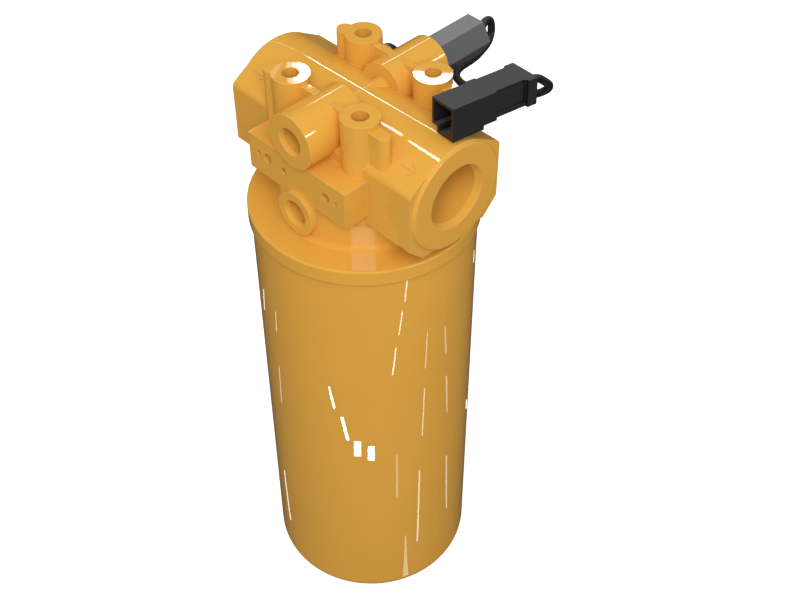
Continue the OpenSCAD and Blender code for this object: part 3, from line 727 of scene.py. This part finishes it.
# studio: pale floor, white surround, soft lamps and the lit strips that the gloss mirrors
studio = {
    "floorRadius": 4.0,
    "floorSides": 96,
    "floorTone": "F4F4F4",
    "floorMottle": "F0F0F0",
    "mottleMm": 60,
    "floorRoughness": 0.95,
    "floorGlow": 0.62,
    "surroundTone": "FFFFFF",
    "surroundRadius": 8.0,
    "roomRadius": 8.8,
    "skyUp": 0.78,  # light from overhead
    "skyDown": 0.42,  # light thrown back from below
    "skyBlend": 0.6,  # how far above and below the horizon one turns into the other
    "glossGlow": 0.05,  # the dim room that glossy faces mirror
    "keyAngles": (50, 46),  # azimuth and elevation, degrees
    "keyDistance": 1.3,
    "keyAim": (0, 0, 0.2),
    "keySize": 0.7,
    "keyWatts": 8.5,
}
# lit strips just over the floor: four corners in millimetres, radiance
stripHeight = 2
floorStrips = [
    ((324, -33), (325, -26), (302, -36), (301, -42), 12),
    ((290, -54), (291, -48), (264, -62), (262, -67), 12),
    ((247, -78), (248, -72), (218, -80), (218, -85), 12),
    ((26, -216), (33, -216), (48, -194), (40, -195), 24),
    ((61, -183), (71, -180), (79, -155), (70, -159), 26),
    ((90, -149), (107, -138), (99, -128), (83, -138), 26),
    ((119, -122), (132, -108), (122, -101), (110, -114), 26),
    ((252, 71), (249, 75), (218, 55), (221, 51), 4),
    ((204, 42), (201, 46), (162, 25), (164, 22), 4.5),
    ((137, 7), (136, 11), (82, -8), (82, -10), 4.5),
    ((190, 163), (186, 167), (164, 148), (168, 145), 2),
    ((152, 130), (148, 133), (123, 109), (127, 106), 2),
    ((102, 76), (98, 78), (73, 42), (75, 41), 2.2),
    ((150, -53), (152, -47), (117, -40), (116, -45), 2),
    ((88, -25), (88, -23), (57, -21), (57, -25), 2.6),
    ((-254, -28), (-254, -40), (-231, -26), (-228, -12), 2),
    ((-215, -135), (-212, -143), (-195, -127), (-197, -120), 2),
    ((-167, -104), (-164, -109), (-133, -93), (-135, -89), 1.8),
    ((-78, -58), (-78, -62), (-36, -61), (-37, -59), 2.2),
    ((-32, 284), (-46, 279), (-43, 266), (-28, 270), 2.5),
    ((12, 134), (3, 130), (6, 123), (16, 126), 3),
]
# lit strips in the air behind and beside the part, in the same way
airStrips = [
    ((-1117, 859, 1305), (-1110, 865, 1306), (-1094, 852, 1336), (-1101, 845, 1335), 4),
    ((-1110, 865, 1306), (-1103, 872, 1306), (-1087, 859, 1336), (-1094, 852, 1336), 9),
    ((-1103, 872, 1306), (-916, 1050, 1324), (-908, 1041, 1341), (-1087, 859, 1336), 24),
    ((-916, 1050, 1324), (-680, 1282, 1340), (-672, 1273, 1357), (-908, 1041, 1341), 24),
    ((-1178, 479, 1526), (-1134, 824, 1352), (-1135, 878, 1306), (-1178, 537, 1502), 1.5),
    ((-953, -9, 1729), (-913, 11, 1746), (-914, 169, 1736), (-953, 148, 1720), 16),
    ((-900, -83, 1750), (-839, -138, 1772), (-840, 17, 1778), (-900, 73, 1750), 16),
    ((1287, 812, 1066), (1286, 832, 1051), (1185, 832, 1208), (1185, 812, 1222), 16),
    ((1184, 1054, 1032), (1197, 1077, 988), (1099, 1077, 1142), (1082, 1054, 1183), 14),
    ((1687, -148, 192), (1636, 438, 192), (1488, 399, 1058), (1535, -134, 1058), 2.2),
    (
        (27.1, -35.0, 275.2), (35.4, -26.6, 275.2), (35.4, -26.6, 289.0), (27.1, -35.0, 288.9),
        1.2,
    ),
]


def emission(name, tone, strength):
    material = bpy.data.materials.new(name)
    material.use_nodes = True
    tree = material.node_tree
    tree.nodes.clear()
    glow = addNode(
        tree, "ShaderNodeEmission", Color=linearColour(tone), Strength=strength
    )
    endMaterial(tree, glow)
    return material


def makeFloor(plan):
    floor = meshObject("studioFloor", lambda work: bmesh.ops.create_circle(
        work, cap_ends=True, segments=plan["floorSides"], radius=plan["floorRadius"]
    ))
    # seamless paper roll, matt and faintly mottled
    material, tree, where = startMaterial("mattPaperSweep")
    mottle = addNode(
        tree, "ShaderNodeTexNoise", Vector=where, Scale=perMetre(plan["mottleMm"]), Detail=3.0
    )
    tone = addNode(
        tree, "ShaderNodeMix", {"data_type": "RGBA"}, at0=mottle.outputs["Fac"],
        at6=linearColour(plan["floorTone"]), at7=linearColour(plan["floorMottle"]),
    )
    shader = addNode(
        tree, "ShaderNodeBsdfPrincipled", BaseColor=tone.outputs[2],
        Roughness=plan["floorRoughness"], SpecularIORLevel=0.0,
        EmissionColor=(1, 1, 1, 1), EmissionStrength=plan["floorGlow"],
    )
    endMaterial(tree, shader)
    floor.data.materials.append(material)
    floor.visible_diffuse = floor.visible_glossy = False


def makeDome(name, radius, tone, glow):
    dome = meshObject(name, lambda work: bmesh.ops.create_uvsphere(
        work, u_segments=48, v_segments=24, radius=radius
    ))
    dome.data.materials.append(emission(name, tone, glow))
    dome.visible_diffuse = dome.visible_shadow = False
    return dome


def makeSurround(plan):
    tone = plan["surroundTone"]
    white = makeDome("studioSurround", plan["surroundRadius"], tone, 1.0)
    white.visible_glossy = False
    dim = makeDome("dimRoom", plan["roomRadius"], tone, plan["glossGlow"])
    dim.visible_camera = False


def makeSky(plan):
    world = bpy.data.worlds.new("studioSky")
    bpy.context.scene.world = world
    world.use_nodes = True
    tree = world.node_tree
    tree.nodes.clear()
    way = addNode(tree, "ShaderNodeTexCoord").outputs["Generated"]
    parts = addNode(tree, "ShaderNodeSeparateXYZ", Vector=way)
    level = addNode(
        tree, "ShaderNodeMapRange", Value=parts.outputs["Z"],
        FromMin=-plan["skyBlend"], FromMax=plan["skyBlend"],
        ToMin=plan["skyDown"], ToMax=plan["skyUp"],
    )
    back = addNode(tree, "ShaderNodeBackground", Strength=level.outputs[0])
    addNode(tree, "ShaderNodeOutputWorld", Surface=back.outputs[0])
    world.cycles_visibility.glossy = False


def makeKey(plan):
    right, up, back = viewAxes(*plan["keyAngles"])
    data = bpy.data.lights.new("keySoftbox", "AREA")
    data.size = plan["keySize"]
    data.energy = plan["keyWatts"]
    lamp = bpy.data.objects.new("keySoftbox", data)
    bpy.context.scene.collection.objects.link(lamp)
    turn = Matrix((right, up, back)).transposed().to_4x4()
    place = Vector(plan["keyAim"]) + back * plan["keyDistance"]
    lamp.matrix_world = Matrix.Translation(place) @ turn
    lamp.visible_camera = lamp.visible_glossy = False


def makeStrip(name, corners, radiance):
    spots = [Vector(corner) * mm for corner in corners]
    strip = meshObject(name, lambda work: work.faces.new([work.verts.new(c) for c in spots]))
    strip.data.materials.append(emission(name, "FFFFFF", radiance))
    strip.visible_camera = strip.visible_diffuse = strip.visible_shadow = False


def makeStrips():
    for number, (*corners, radiance) in enumerate(floorStrips):
        raised = [(*corner, stripHeight) for corner in corners]
        makeStrip(f"floorStrip{number}", raised, radiance)
    for number, (*corners, radiance) in enumerate(airStrips):
        makeStrip(f"airStrip{number}", corners, radiance)


makeFloor(studio)
makeSurround(studio)
makeSky(studio)
makeKey(studio)
makeStrips()
bpy.context.scene.view_settings.view_transform = "Standard"
print("studio is lit")
